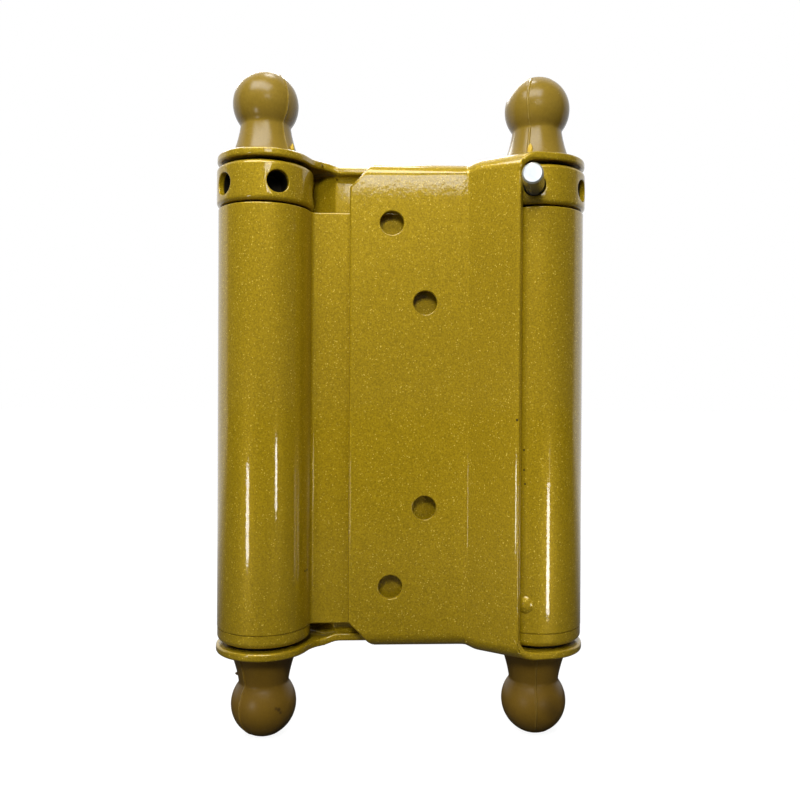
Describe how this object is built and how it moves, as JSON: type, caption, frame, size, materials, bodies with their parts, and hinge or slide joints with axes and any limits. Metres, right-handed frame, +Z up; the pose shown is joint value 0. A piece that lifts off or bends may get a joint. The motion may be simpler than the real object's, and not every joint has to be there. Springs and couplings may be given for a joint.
{
  "type": "double action cafe hinge",
  "caption": "Spring hinge for a swinging cafe door: two sprung barrels joined by a web, a screw-on leaf on each barrel, winding collars with tension pins, and ball finials.",
  "frame": {"origin": "centre of the hinge, half way between the two barrel axes and half way up", "axes": "+Z up along the barrels, towards the winding collars; +X towards the barrel that carries the front leaf; -Y out of the front leaf's screw face, towards the viewer"},
  "size_m": [0.0756, 0.0358, 0.1358],
  "materials": {
    "gold_paint": "satin metallic gold paint",
    "spring_steel": "oiled spring wire",
    "zinc_steel": "zinc plated",
    "plain_steel": "bright drawn steel",
    "moulded_plastic": "matt gold-brown moulded plastic"
  },
  "bodies": {
    "rear_leaf": {"leaf_rear": "gold_paint", "spindle_left": "plain_steel", "finial_top_left": "moulded_plastic", "finial_bottom_left": "moulded_plastic", "washer_top_left": "plain_steel", "washer_bottom_left": "plain_steel"},
    "centre": {"barrel_sheet": "gold_paint", "bottom_cap_right": "gold_paint", "anchor_rivet_right": "gold_paint", "torsion_spring_right": "spring_steel", "bottom_cap_left": "gold_paint", "anchor_rivet_left": "gold_paint", "torsion_spring_left": "spring_steel"},
    "front_leaf": {"leaf_front": "gold_paint", "spindle_right": "plain_steel", "finial_top_right": "moulded_plastic", "finial_bottom_right": "moulded_plastic", "washer_top_right": "plain_steel", "washer_bottom_right": "plain_steel"},
    "collar_right": {"tension_collar_right": "gold_paint"},
    "collar_left": {"tension_collar_left": "gold_paint"},
    "pin_right": {"tension_pin_right": "zinc_steel"},
    "pin_left": {"tension_pin_left": "zinc_steel"}
  },
  "joints": [
    {"name": "rear_leaf_pivot", "type": "hinge", "parent": "rear_leaf", "child": "centre", "pos_m": [-0.028, 0, 0], "axis": [0, 0, -1], "range_deg": [0, 170], "stiffness_Nm_per_rad": 0.6, "springref_deg": -51.57, "deforming": ["torsion_spring_left"]},
    {"name": "front_leaf_pivot", "type": "hinge", "parent": "centre", "child": "front_leaf", "pos_m": [0.028, 0, 0], "axis": [0, 0, 1], "range_deg": [0, 170], "stiffness_Nm_per_rad": 0.6, "springref_deg": -51.57, "deforming": ["torsion_spring_right"]},
    {"name": "collar_right_turn", "type": "hinge", "parent": "front_leaf", "child": "collar_right", "pos_m": [0.028, 0, 0.0435], "axis": [0, 0, 1], "range_deg": [0, 144], "deforming": ["torsion_spring_right"]},
    {"name": "collar_left_turn", "type": "hinge", "parent": "rear_leaf", "child": "collar_left", "pos_m": [-0.028, 0, 0.0435], "axis": [0, 0, 1], "range_deg": [0, 144], "deforming": ["torsion_spring_left"]},
    {"name": "pin_right_pull", "type": "slide", "parent": "collar_right", "child": "pin_right", "axis": [-0.2518, -0.9678, 0], "range_m": [0, 0.0135]},
    {"name": "pin_left_pull", "type": "slide", "parent": "collar_left", "child": "pin_left", "axis": [0.2518, 0.9678, 0], "range_m": [0, 0.0135]}
  ]
}
